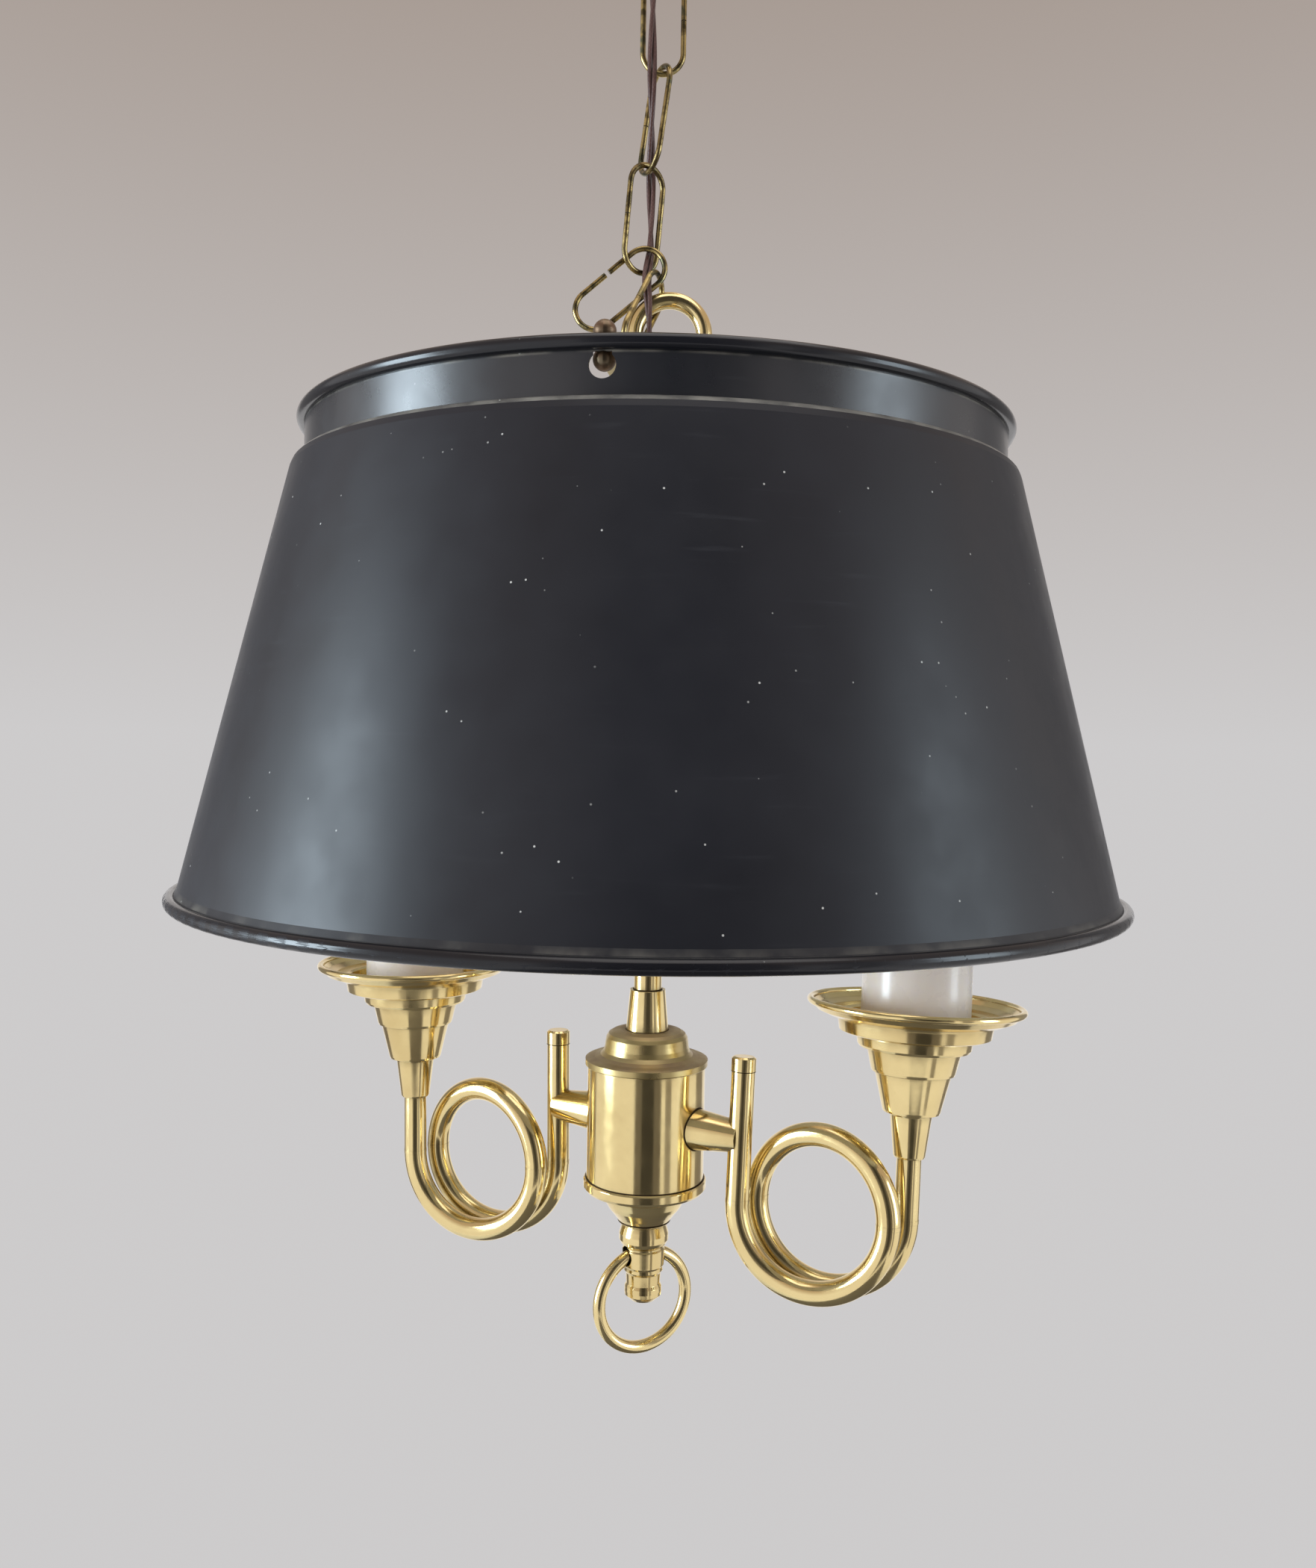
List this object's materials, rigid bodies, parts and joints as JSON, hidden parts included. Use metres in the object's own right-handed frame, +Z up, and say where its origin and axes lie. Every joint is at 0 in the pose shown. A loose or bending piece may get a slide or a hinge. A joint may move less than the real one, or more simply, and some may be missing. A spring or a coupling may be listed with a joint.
{
  "type": "pendant lamp",
  "caption": "Pendant lamp: black metal shade over a brass hunting-horn fitting with candle-sleeve lampholders, hung from a ceiling cup on a slack brass chain and twisted flex.",
  "frame": {"origin": "middle of the strap's upper face, where the lamp meets the ceiling", "axes": "+Z up to the ceiling, X along the pair of arms, Y across them"},
  "size_m": [0.33, 0.33, 0.6003],
  "materials": {
    "polished_brass": "polished and lacquered, with soft dark streaks",
    "chain_brass": "aged brass, dull brown and green in the hollows",
    "dull_brass": "tarnished brass",
    "zinc_steel": "zinc-plated steel",
    "black_satin": "satin blue-black paint, faintly scuffed; white inside",
    "black_gloss": "gloss black paint",
    "ivory_sleeve": "ivory, softly glossy",
    "black_phenolic": "moulded black",
    "white_block": "moulded off-white",
    "flex_cloth": "mauve-brown twisted pair"
  },
  "bodies": {
    "ceiling": {"ceiling_strap": "zinc_steel", "ceiling_nipple": "polished_brass", "nipple_nuts": "polished_brass", "ceiling_cup": "polished_brass", "cup_loop": "polished_brass", "terminal_block": "white_block", "terminal_screws": "polished_brass", "flex_bush": "black_phenolic", "flex_upper": "flex_cloth"},
    "link_1": {"chain_link_1": "chain_brass"},
    "link_2": {"chain_link_2": "chain_brass"},
    "link_3": {"chain_link_3": "chain_brass"},
    "link_4": {"chain_link_4": "chain_brass"},
    "link_5": {"chain_link_5": "chain_brass"},
    "link_6": {"chain_link_6": "chain_brass"},
    "ring": {"swivel_ring": "polished_brass"},
    "pull": {"pull_ring": "polished_brass"},
    "lamp": {"flex_lower": "flex_cloth", "swivel_cup": "polished_brass", "stem_bush": "black_phenolic", "stem_tube": "polished_brass", "carrier": "polished_brass", "carrier_nuts": "polished_brass", "ball_studs": "dull_brass", "shade_neck": "black_gloss", "shade_cone": "black_satin", "stem_collar": "polished_brass", "body_cap": "polished_brass", "body_barrel": "polished_brass", "splice_block": "white_block", "body_base": "polished_brass", "finial": "polished_brass", "nozzle_left": "polished_brass", "nozzle_right": "polished_brass", "nozzle_nuts": "polished_brass", "horn_left": "polished_brass", "horn_right": "polished_brass", "horn_plugs": "polished_brass", "ferrule_left": "polished_brass", "ferrule_right": "polished_brass", "cup_left": "polished_brass", "cup_right": "polished_brass", "cup_nipples": "polished_brass", "pan_left": "polished_brass", "pan_right": "polished_brass", "sleeve_left": "ivory_sleeve", "sleeve_right": "ivory_sleeve", "holder_left": "black_phenolic", "holder_right": "black_phenolic", "shell_left": "polished_brass", "shell_right": "polished_brass", "contacts": "polished_brass"}
  },
  "joints": [
    {"name": "chain_swing", "type": "hinge", "parent": "ceiling", "child": "link_1", "pos_m": [0, 0, -0.07275], "axis": [0.866, 0.5, 0], "range_deg": [-12, 12], "deforming": ["flex_upper"]},
    {"name": "lamp_swing", "type": "hinge", "parent": "link_1", "child": "lamp", "pos_m": [0, 0, -0.1062], "axis": [-0.5, 0.866, 0], "range_deg": [-12, 12], "deforming": ["flex_lower"]},
    {"name": "link_2_swing", "type": "hinge", "parent": "link_1", "child": "link_2", "pos_m": [0, 0, -0.1062], "axis": [-0.5, 0.866, 0], "range_deg": [-12, 12]},
    {"name": "link_3_swing", "type": "hinge", "parent": "link_2", "child": "link_3", "pos_m": [0, 0, -0.1409], "axis": [0.866, 0.5, 0], "range_deg": [-4, 4]},
    {"name": "link_4_swing", "type": "hinge", "parent": "link_3", "child": "link_4", "pos_m": [-0.00407, -0.00235, -0.1742], "axis": [0.866, 0.5, 0], "range_deg": [-8, 8]},
    {"name": "ring_tilt", "type": "hinge", "parent": "lamp", "child": "ring", "pos_m": [0, 0, -0.2529], "axis": [-0.5, 0.866, 0], "range_deg": [-8, 2]},
    {"name": "link_6_turn", "type": "hinge", "parent": "ring", "child": "link_6", "pos_m": [-0.00702, -0.00405, -0.23472], "axis": [0, 0, 1], "range_deg": [-2, 8]},
    {"name": "link_5_tilt", "type": "hinge", "parent": "ring", "child": "link_5", "pos_m": [-0.00079, -0.00143, -0.2158], "axis": [-0.5, 0.866, 0], "range_deg": [-1, 10]},
    {"name": "pull_swing", "type": "hinge", "parent": "lamp", "child": "pull", "pos_m": [0, 0, -0.5635], "axis": [0.5299, 0.848, 0], "range_deg": [-60, 60]}
  ],
  "couplings": [
    {"joint": "link_2_swing", "follows": "lamp_swing", "ratio": 1},
    {"joint": "link_4_swing", "follows": "link_3_swing", "ratio": -2}
  ]
}
